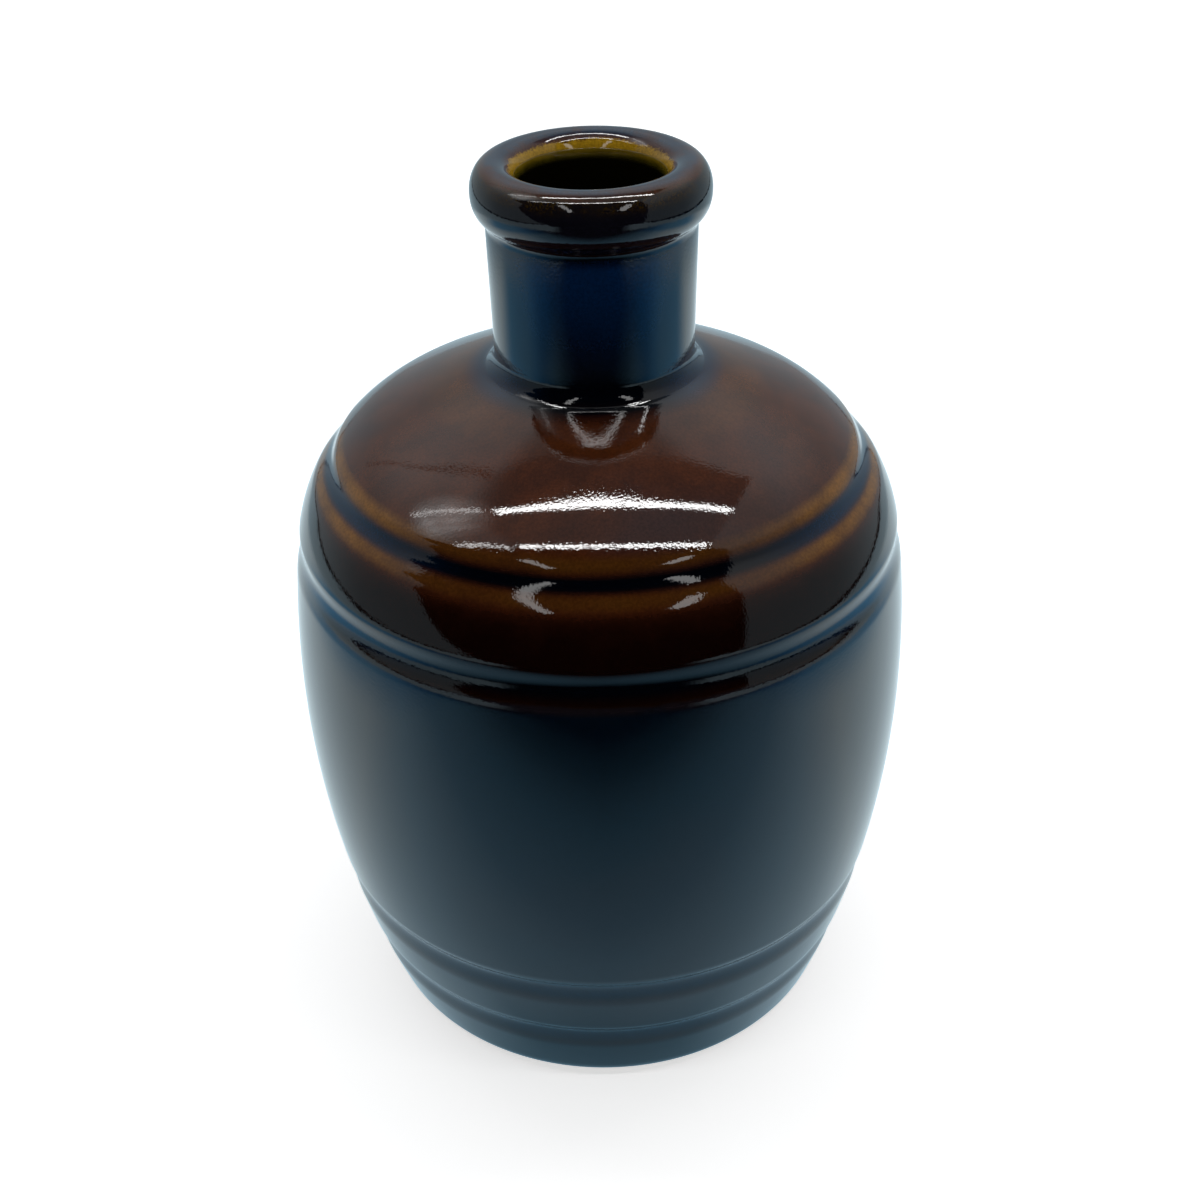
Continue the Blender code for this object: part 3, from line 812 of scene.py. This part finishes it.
def dark_glaze_material(colours):
    """Dark gloss glaze: mottled brown on the shoulder, amber where thin, navy where thick, blue in pools."""
    material, graph = new_material("dark_glaze")
    place = graph.place()
    axes = graph.axes(place)
    level = graph.add("ShaderNodeCombineXYZ", None, X=axes["X"], Y=axes["Y"]).outputs[0]
    back = graph.axes(graph.vector_maths("NORMALIZE", level))["Y"]
    # Painted shade and a painted reflection follow this mask: the front gets darker amber and pools, and the
    # blue reflection on the neck.
    aside = graph.ramp(back, *FRONT_TURN)  # 0 on the front of the flagon, 1 on its sides and back
    clouds = graph.noise(place, CLOUD_SIZE, detail=2.5, roughness=0.5, distortion=0.4)
    mottle = graph.noise(place, MOTTLE_SIZE, detail=4.0, roughness=0.6)
    grain = graph.noise(place, GRAIN_SIZE, detail=2.0, roughness=0.6)
    flecks = graph.noise(place, FLECK_SIZE, detail=2.0, roughness=0.7)

    # The brown, with its clouds, and darkest between the two top hoops.
    brown = graph.mix(graph.ramp(mottle, 0.34, 0.68), colours.brown_deep, colours.brown)
    brown = graph.mix(graph.ramp(clouds, 0.56, 0.72, 0.0, 0.80), brown, colours.plum)
    deep = graph.sum(graph.attribute("deep"), graph.ramp(mottle, 0.25, 0.75, -0.10, 0.10))
    brown = graph.mix(graph.ramp(deep, 0.05, 0.95), brown, colours.umber)

    # The navy where the coat is thick, with a ragged edge.
    edge_breakup = graph.ramp(mottle, 0.25, 0.75, -0.20, 0.20)
    navy = graph.ramp(graph.sum(graph.attribute("navy"), edge_breakup), 0.25, 0.75)
    thick = graph.mix(graph.ramp(clouds, 0.40, 0.62, 0.0, 0.9), colours.navy, colours.navy_warm)
    base = graph.mix(navy, brown, thick)

    # The amber where it has run thin, and the pools, both darker at the front by painted shade, which spares
    # the pools of the low hoops.
    thin = graph.product(graph.attribute("thin"), graph.ramp(mottle, 0.25, 0.70, 0.55, 1.10))
    amber = graph.mix(aside, colours.amber, colours.amber_lit_side)
    base = graph.mix(graph.maths("MINIMUM", thin, 1.0), base, amber)
    # Painted shade: pools are near black on the front, but for those of the low hoops.
    low = graph.ramp(axes["Z"], *LOW_POOL_HEIGHTS, LOW_POOL_BLUE, 0.0)
    pool = graph.mix(graph.maths("MAXIMUM", aside, low), colours.pool_shaded_front, colours.pool)
    base = graph.mix(graph.maths("MINIMUM", graph.attribute("pool"), 1.0), base, pool)

    # Painted sheen on the lip's crown, painted reflection on the neck's front, flecks on the lip's front, the
    # mouth.
    # Painted sheen on the crown of the lip.
    slate = graph.product(graph.attribute("slate"), graph.ramp(mottle, 0.34, 0.56, 0.30, 1.0))
    base = graph.mix(slate, base, colours.slate)
    film = graph.product(graph.attribute("film"), graph.maths("SUBTRACT", 1.0, aside))
    base = graph.mix(film, base, colours.film)
    olive = graph.product(graph.attribute("olive"), graph.ramp(flecks, 0.36, 0.66))
    olive = graph.product(olive, graph.ramp(mottle, 0.32, 0.52))
    base = graph.mix(olive, base, colours.olive)
    mouth = graph.sum(graph.attribute("mouth"), graph.ramp(mottle, 0.25, 0.75, -0.25, 0.25))
    mouth = graph.sum(mouth, graph.ramp(flecks, 0.30, 0.70, -0.15, 0.15))
    base = graph.mix(graph.ramp(mouth, 0.35, 0.85), base, colours.gold)

    toned = graph.vector_maths("SCALE", base, graph.ramp(grain, 0.30, 0.70, 0.82, 1.18))
    peel = graph.noise(place, PEEL_SIZE, detail=1.0)
    ripple = graph.noise(place, RIPPLE_SIZE, detail=1.0)
    roughness = graph.ramp(grain, 0.3, 0.7, 0.025, 0.045)
    bumps = [(ripple, 0.03, 0.0003), (peel, 0.18, 0.00005)]
    finish_material(graph, toned, roughness, bumps)
    return material


def honey_glaze_material(colours):
    """Honey-olive lining glaze: paler on the rim, with painted shade farther in, and darker in fine runs."""
    material, graph = new_material("honey_glaze")
    place = graph.place()
    mottle = graph.noise(place, LINING_MOTTLE_SIZE, detail=4.0, roughness=0.6)
    runs = graph.noise(graph.stretched(place, RUN_STRETCH), RUN_SIZE, detail=2.0)
    high = graph.attribute("high")
    # Painted shade: the honey darkens to near black a little below the rim, and more in the runs.
    lit = graph.product(graph.ramp(high, 0.90, 0.995), graph.ramp(runs, 0.30, 0.70, 0.6, 1.0))
    base = graph.mix(lit, colours.honey_shaded, colours.honey)
    thin = graph.product(graph.ramp(high, 0.965, 1.0), graph.ramp(mottle, 0.25, 0.75, 0.5, 1.0))
    base = graph.mix(graph.maths("MINIMUM", thin, 1.0), base, colours.honey_thin)
    peel = graph.noise(place, LINING_PEEL_SIZE, detail=1.5)
    roughness = graph.ramp(mottle, 0.3, 0.7, 0.06, 0.12)
    finish_material(graph, base, roughness, [(peel, 0.15, 0.0001)])
    return material


def clay_material(colours):
    """Bare fired stoneware: matte and sandy, toasted in clouds, with iron specks."""
    material, graph = new_material("bare_clay")
    place = graph.place()
    clouds = graph.noise(place, CLAY_CLOUD_SIZE, detail=3.0)
    sand = graph.noise(place, SAND_SIZE, detail=3.0, roughness=0.7)
    specks = graph.add("ShaderNodeTexVoronoi", None, Vector=place, Scale=1 / SPECK_SPACING)
    speck = graph.ramp(specks.outputs["Distance"], 0.10, 0.20, 1.0, 0.0)
    base = graph.mix(graph.ramp(clouds, 0.40, 0.65), colours.clay, colours.clay_flash)
    base = graph.mix(graph.ramp(sand, 0.35, 0.75, 0.0, 0.35), base, colours.clay_flash)
    base = graph.mix(speck, base, colours.clay_speck)
    roughness = graph.ramp(sand, 0.3, 0.7, 0.78, 0.92)
    finish_material(graph, base, roughness, [(sand, 0.5, 0.0002)])
    return material


def dress(piece, material, node):
    """Gives a piece its finish, seats it on its body and puts it in its node's place."""
    piece.data.materials.clear()
    piece.data.materials.append(material)
    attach(piece, "root")
    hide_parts(node)


def coat_marks(outline, distance):
    """How the dark coat lies at a distance up the outside: a value for each of its marks."""
    starts = outline.starts
    low, second, knuckle, top = outline.hoops
    hollow, crease = starts["hollow"], starts["crease"]
    places = {
        "low_hoop": low, "second_hoop": second, "knuckle_hoop": knuckle, "top_hoop": top,
        "hollow": hollow, "collar": (hollow + starts["neck"]) / 2, "crease": crease,
    }

    def strongest(bands):
        """The mark that the strongest of some bands leaves here."""
        return max(
            strength * plateau(distance, places[name] + up, full, reach)
            for name, up, full, reach, strength in bands
        )

    on_lip = {
        name: strength * plateau(distance, outline.lip_distance(math.radians(turned)), full, reach)
        for name, (turned, full, reach, strength) in LIP_BANDS.items()
    }
    belly_full, belly_gone = (knuckle + shift for shift in BELLY_NAVY_FROM_KNUCKLE_HOOP)
    navy = 1 - rise(distance, belly_full, belly_gone)
    navy = max(navy, rise(distance, hollow + NECK_NAVY_FROM_HOLLOW, starts["neck"]))
    navy = navy - on_lip["brown_below"] - on_lip["brown_above"]
    deep = 1
    for start, end, share in DEEP_FROM_TOP_HOOP:
        deep = deep - share * rise(distance, top + start, top + end)
    mouth_start, mouth_end = (outline.lip_distance(math.radians(turned)) for turned in MOUTH_TURNS)
    # Where the painted blue reflection lies: up the neck to just under the lip.
    film = rise(distance, starts["neck"], crease + REFLECTION_FULL_FROM_CREASE)
    film = film * (1 - rise(distance, crease + REFLECTION_FADE_FROM_CREASE, crease))
    return {
        "pool": strongest(POOL_BANDS),
        "thin": strongest(THIN_BANDS),
        "navy": navy,
        "deep": deep,
        "olive": on_lip["olive"],
        "mouth": rise(distance, mouth_start, mouth_end),
        "slate": on_lip["slate"],
        "film": film,
    }


def settings(context):
    """The sizes, the fineness and the outline that they make."""
    sizes = context.scene.flagon_sizes
    return sizes, context.scene.flagon_fineness, Outline(sizes)


class FLAGON_OT_dark_coat(bpy.types.Operator):
    """Turns the dark glaze of the outside, from above the foot over the lip to the rim of the bore"""

    bl_idname = "flagon.dark_coat"
    bl_label = "Dark Coat"

    def execute(self, context):
        sizes, fineness, outline = settings(context)
        end = outline.lip_distance(sizes.lip_glaze_end)
        rings = outline.rings(outline.heel_distance(sizes.glaze_line), end, fineness)
        # One more ring just before the end keeps the coat's rim crisp.
        rings.insert(-1, max(end - sizes.join, (rings[-2] + end) / 2))
        hidden = spread(end, rings[0], fineness.hidden_step)
        profile = [outline.finished(distance) for distance in rings]
        profile += [outline.below(distance, sizes.glaze) for distance in hidden]
        piece = draw_profile("dark_coat", profile)
        marks = [coat_marks(outline, distance) for distance in rings + hidden]
        for name in COAT_MARKS:
            mark_points(piece, name, [mark[name] for mark in marks])
        spin_round(piece, fineness.turn_steps, closed=True)
        sway_wall(piece, sizes)
        dress(piece, dark_glaze_material(context.scene.flagon_colours), "outer_glaze")
        return {"FINISHED"}


class FLAGON_OT_honey_lining(bpy.types.Operator):
    """Turns the honey-coloured lining, from the rim of the bore down to the floor"""

    bl_idname = "flagon.honey_lining"
    bl_label = "Honey Lining"

    def execute(self, context):
        sizes, fineness, outline = settings(context)
        face = outline.lining(0, fineness.plain_step)
        face[0] = between(face[0], face[1], sizes.join / math.dist(face[0], face[1]))
        face.insert(1, between(face[0], face[1], RIM_SHARE))
        back = outline.lining(sizes.liner, fineness.hidden_step)
        profile = face[::-1] + back
        piece = draw_profile("honey_lining", profile)
        rim = face[0][1]
        mark_points(piece, "high", [1 - rise(rim - height, 0, sizes.lip_height) for _, height in profile])
        spin_round(piece, fineness.turn_steps, closed=False)
        dress(piece, honey_glaze_material(context.scene.flagon_colours), "liner_glaze")
        return {"FINISHED"}


class FLAGON_OT_clay(bpy.types.Operator):
    """Turns the clay: its bare foot ring shows, and the rest backs the coats"""

    bl_idname = "flagon.clay"
    bl_label = "Clay"

    def execute(self, context):
        sizes, fineness, outline = settings(context)
        inner = outline.lining(sizes.liner + sizes.seat, fineness.hidden_step)
        top = outline.lip_distance(sizes.lip_glaze_end)
        glaze_line = outline.heel_distance(sizes.glaze_line)
        hidden = spread(top, glaze_line + sizes.foot_ring_width, fineness.hidden_step)
        heel = spread(glaze_line, 0, fineness.fine_step)
        ring = outline.stretches["heel"].centre[0]
        recess = ring - sizes.foot_ring_width - sizes.foot_edge
        ceiling = sizes.recess_height + sizes.base_coat + sizes.seat
        foot = [(radius, 0) for radius in spread(ring, recess + sizes.foot_edge, fineness.plain_step)[1:]]
        corner = BEVEL_CORNER * sizes.foot_edge
        foot += [(recess + corner, corner), (recess, sizes.foot_edge), (recess, ceiling), (0, ceiling)]
        outside = [outline.below(distance, sizes.glaze + sizes.seat) for distance in hidden + heel]
        piece = draw_profile("clay", inner[::-1] + outside + foot)
        spin_round(piece, fineness.turn_steps, closed=False)
        bpy.ops.object.shade_smooth_by_angle(angle=SMOOTH_BELOW)
        dress(piece, clay_material(context.scene.flagon_colours), "stoneware_body")
        return {"FINISHED"}


class FLAGON_OT_foot_glaze(bpy.types.Operator):
    """Turns the patch of dark glaze in the hollow of the foot, thick in the middle and rounded at its edge"""

    bl_idname = "flagon.foot_glaze"
    bl_label = "Foot Glaze"

    def execute(self, context):
        sizes, fineness, outline = settings(context)
        edge = outline.stretches["heel"].centre[0] - sizes.foot_ring_width - sizes.foot_edge - sizes.seat
        top = sizes.recess_height + sizes.base_coat
        half = sizes.base_coat / 2
        roll = Arc((edge - half, top - half), half, math.pi / 2, -math.pi / 2)
        round_edge = spread(0, roll.length, roll.length / EDGE_FACES)
        under = spread(edge - sizes.base_coat, 0, 2 * fineness.plain_step)
        profile = [(0, top)] + [roll.at(distance) for distance in round_edge]
        profile += [(radius, sizes.recess_height) for radius in under]
        piece = draw_profile("foot_glaze", profile)
        for name, value in zip(COAT_MARKS, FOOT_MARKS):
            mark_points(piece, name, [value] * len(profile))
        spin_round(piece, fineness.turn_steps, closed=False)
        dress(piece, bpy.data.materials["dark_glaze"], "base_glaze")
        return {"FINISHED"}


def add_flat(name, corners, material):
    """A flat piece of the stage with those corners."""
    piece = draw_line(name, corners)
    bpy.ops.object.mode_set(mode="EDIT")
    bpy.ops.mesh.select_all(action="SELECT")
    bpy.ops.mesh.edge_face_add()
    bpy.ops.object.mode_set(mode="OBJECT")
    piece.data.materials.append(material)
    return piece


def add_card(name, corners, material, dims=False):
    """A flat card that only the glaze shows, as a photographer would use. It may dim the light too."""
    card = add_flat(name, corners, material)
    card.visible_camera = False
    card.visible_diffuse = dims
    card.visible_transmission = False
    card.visible_volume_scatter = False
    card.visible_shadow = False


def table_material(stage):
    """A pale matt table top that the white backdrop lifts to white for the camera and in reflections."""
    material, graph = new_material("pale_table")
    path = graph.add("ShaderNodeLightPath").outputs
    seen = graph.sum(path["Is Camera Ray"], path["Is Glossy Ray"])
    seen = graph.sum(seen, path["Is Transmission Ray"], clamp=True)
    top = graph.add("ShaderNodeBsdfDiffuse", None, Color=stage.table_colour).outputs[0]
    lift = graph.glow(graph.product(seen, stage.table_glow))
    graph.end(graph.add("ShaderNodeAddShader", None, i0=top, i1=lift).outputs[0])
    return material


def card_material(name, strength):
    """A matt card that is equally bright all over, whatever the light."""
    material, graph = new_material(name)
    graph.end(graph.glow(strength))
    return material


def canopy_material():
    """A dark canopy: palest in front, and fading out to the left at the back."""
    material, graph = new_material("canopy")
    axes = graph.axes(graph.place())
    dusk = graph.ramp(axes["Y"], *CANOPY_LIGHT)
    near = graph.ramp(axes["Y"], *CANOPY_WHOLE, 1.0, 0.0)
    cover = graph.maths("MAXIMUM", near, graph.ramp(axes["X"], *CANOPY_LEFT_FADE))
    graph.end(graph.mix_shaders(cover, graph.clear(), graph.glow(dusk)))
    return material


def haze_material(stage):
    """A soft streaky patch of light that fades to nothing at its edge."""
    material, graph = new_material("haze")
    place = graph.place()
    centred = graph.vector_maths("SUBTRACT", place, HAZE_CENTRE)
    out = graph.vector_maths("LENGTH", graph.vector_maths("DIVIDE", centred, HAZE_REACH))
    drawn = graph.stretched(place, STREAK_STRETCH)
    streaks = graph.ramp(graph.noise(drawn, STREAK_SIZE, detail=4.0, roughness=0.65), 0.34, 0.66, 0.45, 1.0)
    share = graph.product(graph.ramp(out, *HAZE_FADE, 1.0, 0.0), streaks)
    graph.end(graph.mix_shaders(share, graph.clear(), graph.glow(stage.haze_radiance)))
    return material


def table_tint_material(stage):
    """The tint of the table in the glaze: cool, deeper at the sides, with painted shade in front and round
    the foot.
    """
    material, graph = new_material("table_tint")
    place = graph.place()
    axes = graph.axes(place)
    aside = graph.maths("ABSOLUTE", axes["X"])
    far = graph.vector_maths("LENGTH", place)

    # Painted shade: from dark in front to pale at the back, and a little paler to the sides.
    lit = graph.sum(axes["Y"], graph.product(aside, PALER_ASIDE))
    share = graph.add("ShaderNodeMapRange", None, Value=lit, i1=stage.dusk_front, i2=stage.dusk_back)
    gradient = graph.add("ShaderNodeValToRGB", None, Fac=share.outputs[0])
    elements = gradient.color_ramp.elements
    while len(elements) < len(TABLE_TINTS):
        elements.new(1)
    for element, (position, tint) in zip(elements, TABLE_TINTS):
        element.position = position
        element.color = tint + (1,)

    # A blue band at each side.
    band = graph.product(graph.ramp(aside, *BAND_STARTS), graph.ramp(aside, *BAND_ENDS, 1.0, 0.0))
    band = graph.product(band, graph.ramp(axes["Y"], *BAND_BACK, 1.0, 0.0))
    side = graph.mix(band, WHITE, SIDE_TINT)
    tint = graph.mix(1.0, gradient.outputs["Color"], side, "MULTIPLY")

    # A greyer tint far off, but for a wedge in front.
    slant = graph.sum(aside, graph.product(axes["Y"], WEDGE_SLOPE))
    corner = graph.product(graph.ramp(slant, *WEDGE_EDGE), graph.ramp(far, *CORNER_STARTS))
    tint = graph.mix(corner, tint, CORNER_TINT)

    # A shade round the foot.
    unshaded = graph.maths("MAXIMUM", graph.ramp(far, *SHADE_REACH), graph.ramp(aside, *SHADE_ASIDE))
    shade = graph.mix(unshaded, FOOT_SHADE, WHITE)
    graph.end(graph.clear(graph.mix(1.0, tint, shade, "MULTIPLY")))
    return material


class FLAGON_OT_stage(bpy.types.Operator):
    """Sets the table, the light and the camera"""

    bl_idname = "flagon.stage"
    bl_label = "Stage"

    def execute(self, context):
        stage = context.scene.flagon_stage
        self.add_table(stage)
        self.add_cards(stage)
        self.add_lamps(stage)
        self.add_room(context, stage)
        self.add_camera(context, stage)
        return {"FINISHED"}

    def add_table(self, stage):
        """The plain table top that the flagon stands on."""
        add_flat("table", self.table_corners(stage, 0), table_material(stage))

    def table_corners(self, stage, height):
        """Corners of the table top, or of something that covers it, that high."""
        return self.table_part(stage, -stage.table_left, stage.table_right, height)

    def table_part(self, stage, left, right, height):
        """Corners of a part of the table, from its front to its back."""
        front, back = -stage.table_front, stage.table_back
        return [(left, front, height), (right, front, height), (right, back, height), (left, back, height)]

    def add_cards(self, stage):
        """What the glaze alone reflects: the tint of the table, the dark side of the room, and lights."""
        add_card("table_tint", self.table_corners(stage, TINT_RISE), table_tint_material(stage))
        dark = card_material("dark_card", CARD_DARKNESS)
        wall = -stage.dark_front
        top = stage.canopy_height
        add_card("dark_wall", [(x, wall, z) for x, z in DARK_WALL], dark, dims=True)
        add_card("dark_ceiling", [(x, y, top) for x, y in DARK_CEILING], dark, dims=True)
        add_card("canopy", [(x, y, top) for x, y in CANOPY], canopy_material(), dims=True)
        add_card("haze", [(x, y, HAZE_CENTRE[2]) for x, y in HAZE], haze_material(stage))
        for name, (middle, half_width, share) in STRIPS.items():
            edge = [(x, y - half_width, top - STRIP_DROP) for x, y in middle]
            edge += [(x, y + half_width, top - STRIP_DROP) for x, y in reversed(middle)]
            add_card(f"{name}_strip", edge, card_material(f"{name}_strip", share * stage.lamp_radiance))
        pale = card_material("pale_opening", stage.patch_radiance)
        for side, patch in PATCHES.items():
            add_card(f"{side}_opening", [(x, wall + PATCH_GAP, z) for x, z in patch], pale)
        for side, edge in (("left", -stage.table_left), ("right", stage.table_right)):
            out = math.copysign(stage.table_edge, edge) + edge
            add_card(f"{side}_edge", self.table_part(stage, edge, out, 0), dark)

    def add_lamps(self, stage):
        """Two strip lamps overhead. The glaze shows their cards in their stead."""
        for name, back in LAMPS.items():
            place = Vector((LAMP_ACROSS, back, 1)) * stage.lamp_height
            self.add_lamp(name, place, (stage.lamp_length, stage.lamp_width), stage.lamp_radiance)

    def add_lamp(self, name, place, size, radiance):
        """An area lamp that faces down, as bright as its radiance says."""
        data = bpy.data.lights.new(name, "AREA")
        data.shape = "RECTANGLE"
        data.size, data.size_y = size
        data.energy = radiance * math.pi * size[0] * size[1]
        lamp = bpy.data.objects.new(name, data)
        lamp.location = place
        lamp.visible_camera = False
        lamp.visible_glossy = False
        bpy.context.scene.collection.objects.link(lamp)

    def add_room(self, context, stage):
        """A plain room: pale walls that are dimmer low down and at the sides, and a dimmer ceiling."""
        world = bpy.data.worlds.new("room")
        context.scene.world = world
        graph = NodeGraph(world)
        axes = graph.axes(graph.add("ShaderNodeTexCoord").outputs["Generated"])
        height = axes["Z"]
        walls = graph.ramp(height, *WALL_HEIGHTS, stage.room_low, stage.room_light)
        ceiling = graph.ramp(height, *CEILING_HEIGHTS)
        fall = graph.ramp(ceiling, 0.0, 1.0, 1.0, stage.room_ceiling / stage.room_light)
        sides = graph.ramp(axes["Y"], *BACK_TURN, stage.room_sides, BACK_SHARE)
        light = graph.product(graph.product(walls, fall), sides)
        tint = graph.mix(graph.ramp(height, *LOW_TINT_HEIGHTS), stage.room_low_tint, stage.room_tint)
        background = graph.add("ShaderNodeBackground", None, Color=tint, Strength=light)
        graph.end(background.outputs[0], "ShaderNodeOutputWorld")

    def add_camera(self, context, stage):
        """The camera in front of the flagon, looking down on it, and a plain view transform."""
        data = bpy.data.cameras.new("camera")
        data.lens = stage.camera_lens
        data.sensor_width = SENSOR_WIDTH
        data.clip_start = CLIP_START
        camera = bpy.data.objects.new("camera", data)
        context.scene.collection.objects.link(camera)
        place = Matrix.Translation((0, -stage.camera_back, stage.camera_up))
        tilt = Matrix.Rotation(math.pi / 2 - stage.camera_pitch, 4, "X")
        camera.matrix_world = place @ tilt @ Matrix.Rotation(stage.camera_roll, 4, "Z")
        context.scene.camera = camera
        context.scene.view_settings.view_transform = "Standard"


PIECE_OPERATORS = (FLAGON_OT_dark_coat, FLAGON_OT_honey_lining, FLAGON_OT_clay, FLAGON_OT_foot_glaze)
GROUPS = {
    "flagon_sizes": FlagonSizes,
    "flagon_fineness": FlagonFineness,
    "flagon_colours": FlagonColours,
    "flagon_stage": FlagonStage,
}


class FLAGON_PT_panel(bpy.types.Panel):
    """The flagon's operators, sizes and colours"""

    bl_label = "Wine Flagon"
    bl_idname = "FLAGON_PT_panel"
    bl_space_type = "VIEW_3D"
    bl_region_type = "UI"
    bl_category = "Flagon"

    def draw(self, context):
        for operator in PIECE_OPERATORS + (FLAGON_OT_stage,):
            self.layout.operator(operator.bl_idname)
        for name, group in GROUPS.items():
            box = self.layout.box()
            for key in group.__annotations__:
                box.prop(getattr(context.scene, name), key)


CLASSES = tuple(GROUPS.values()) + PIECE_OPERATORS + (FLAGON_OT_stage, FLAGON_PT_panel)


def register():
    for cls in CLASSES:
        bpy.utils.register_class(cls)
    for name, group in GROUPS.items():
        setattr(bpy.types.Scene, name, bpy.props.PointerProperty(type=group))


def unregister():
    for name in GROUPS:
        delattr(bpy.types.Scene, name)
    for cls in reversed(CLASSES):
        bpy.utils.unregister_class(cls)


def main():
    register()
    bpy.ops.flagon.stage()
    bpy.ops.flagon.dark_coat()
    bpy.ops.flagon.honey_lining()
    bpy.ops.flagon.clay()
    bpy.ops.flagon.foot_glaze()


if __name__ == "__main__":
    main()
